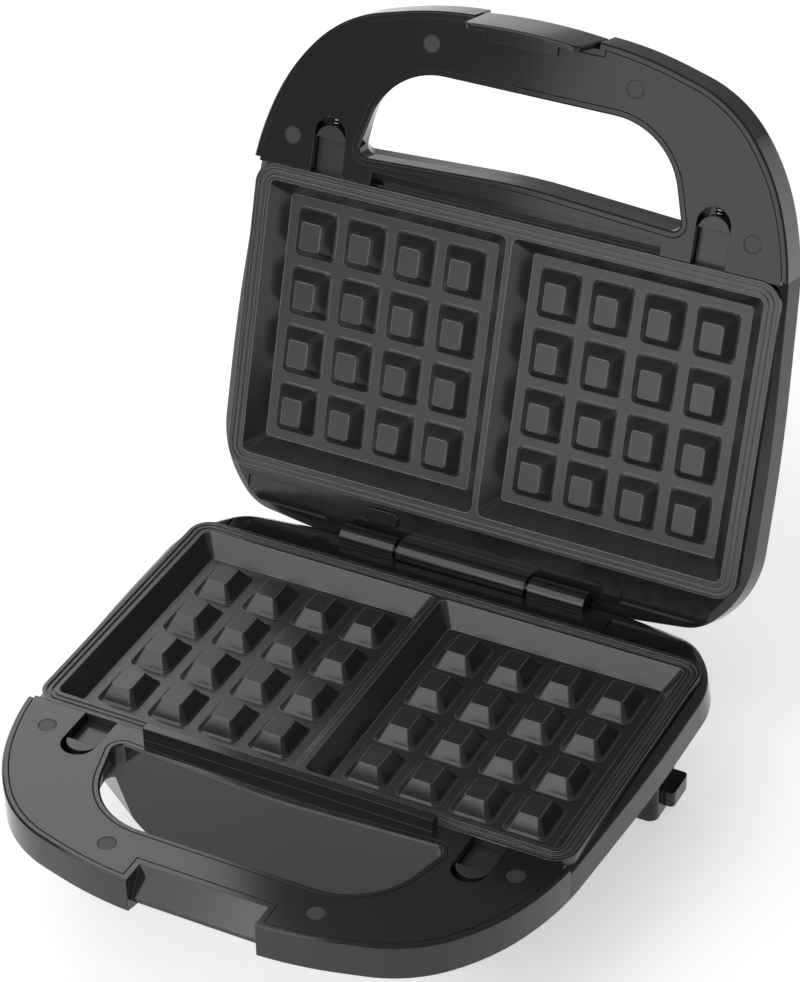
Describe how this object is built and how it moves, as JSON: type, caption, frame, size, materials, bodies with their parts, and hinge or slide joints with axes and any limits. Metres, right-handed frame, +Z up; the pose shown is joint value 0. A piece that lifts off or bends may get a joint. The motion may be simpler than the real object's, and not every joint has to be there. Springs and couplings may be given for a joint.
{
  "type": "waffle and sandwich maker",
  "caption": "Countertop waffle maker standing open: hinged halves with looped handles, pegged non-stick plates, pull tabs that free the plates and a pivoting latch clip.",
  "frame": {"origin": "centre of the bounding box seen from above, on the surface that the pads stand on", "axes": "+Z up, +Y from the handle at the front to the hinge at the rear, +X along the hinge pin to the right"},
  "size_m": [0.2378, 0.309, 0.2847],
  "materials": {
    "housing_plastic": "smooth satin black moulding",
    "frame_plastic": "heat-proof black moulding, faint grain",
    "nonstick_coat": "dark warm grey non-stick coat on cast aluminium",
    "element_sheath": "dull heater sheath",
    "bright_steel": "zinc plated",
    "reflector_sheet": "mill finish sheet",
    "cap_plastic": "plain black plug",
    "tab_plastic": "fine grained black",
    "thermostat_can": "pressed can",
    "pale_ceramic": "unglazed",
    "lead_sleeve": "woven glass sleeve",
    "pad_rubber": "matt",
    "gland_rubber": "matt",
    "red_lens": "clear red",
    "green_lens": "clear green",
    "lamp_glass": "clear"
  },
  "bodies": {
    "base": {"base_housing": "housing_plastic", "base_inner_frame": "frame_plastic", "base_waffle_plate": "nonstick_coat", "base_heating_element": "element_sheath", "base_element_clips": "bright_steel", "base_reflector": "reflector_sheet", "base_reflector_screws": "bright_steel", "base_handle_screws": "bright_steel", "base_frame_screws": "bright_steel", "base_screw_caps": "cap_plastic", "base_tab_spring_right": "bright_steel", "base_tab_spring_left": "bright_steel", "base_thermostat": "thermostat_can", "base_thermal_fuse": "pale_ceramic", "base_lead_wires": "lead_sleeve", "hinge_pin": "bright_steel", "foot_pads": "pad_rubber", "terminal_block": "pale_ceramic", "cord_gland": "gland_rubber"},
    "lid": {"lid_housing": "housing_plastic", "lid_inner_frame": "frame_plastic", "lid_waffle_plate": "nonstick_coat", "lid_heating_element": "element_sheath", "lid_element_clips": "bright_steel", "lid_reflector": "reflector_sheet", "lid_reflector_screws": "bright_steel", "lid_handle_screws": "bright_steel", "lid_frame_screws": "bright_steel", "lid_screw_caps": "cap_plastic", "lid_tab_spring_right": "bright_steel", "lid_tab_spring_left": "bright_steel", "lid_thermostat": "thermostat_can", "lid_thermal_fuse": "pale_ceramic", "lid_lead_wires": "lead_sleeve", "power_lens": "red_lens", "ready_lens": "green_lens", "indicator_lamps": "lamp_glass"},
    "latch": {"latch_clip": "housing_plastic"},
    "base_tab_right": {"base_release_tab_right": "tab_plastic"},
    "base_tab_left": {"base_release_tab_left": "tab_plastic"},
    "lid_tab_right": {"lid_release_tab_right": "tab_plastic"},
    "lid_tab_left": {"lid_release_tab_left": "tab_plastic"}
  },
  "joints": [
    {"name": "lid_hinge", "type": "hinge", "parent": "base", "child": "lid", "pos_m": [0, 0.06746, 0.06735], "axis": [1, 0, 0], "range_deg": [0, 107]},
    {"name": "latch_pivot", "type": "hinge", "parent": "lid", "child": "latch", "pos_m": [0, 0.13926, 0.2743], "axis": [1, 0, 0], "range_deg": [-24, 0]},
    {"name": "base_tab_right_pull", "type": "slide", "parent": "base", "child": "base_tab_right", "axis": [0, -1, 0], "range_m": [0, 0.0035], "stiffness_N_per_m": 900, "deforming": ["base_tab_spring_right"]},
    {"name": "base_tab_left_pull", "type": "slide", "parent": "base", "child": "base_tab_left", "axis": [0, -1, 0], "range_m": [0, 0.0035], "stiffness_N_per_m": 900, "deforming": ["base_tab_spring_left"]},
    {"name": "lid_tab_right_pull", "type": "slide", "parent": "lid", "child": "lid_tab_right", "axis": [0, 0.2924, 0.9563], "range_m": [0, 0.0035], "stiffness_N_per_m": 900, "deforming": ["lid_tab_spring_right"]},
    {"name": "lid_tab_left_pull", "type": "slide", "parent": "lid", "child": "lid_tab_left", "axis": [0, 0.2924, 0.9563], "range_m": [0, 0.0035], "stiffness_N_per_m": 900, "deforming": ["lid_tab_spring_left"]}
  ]
}
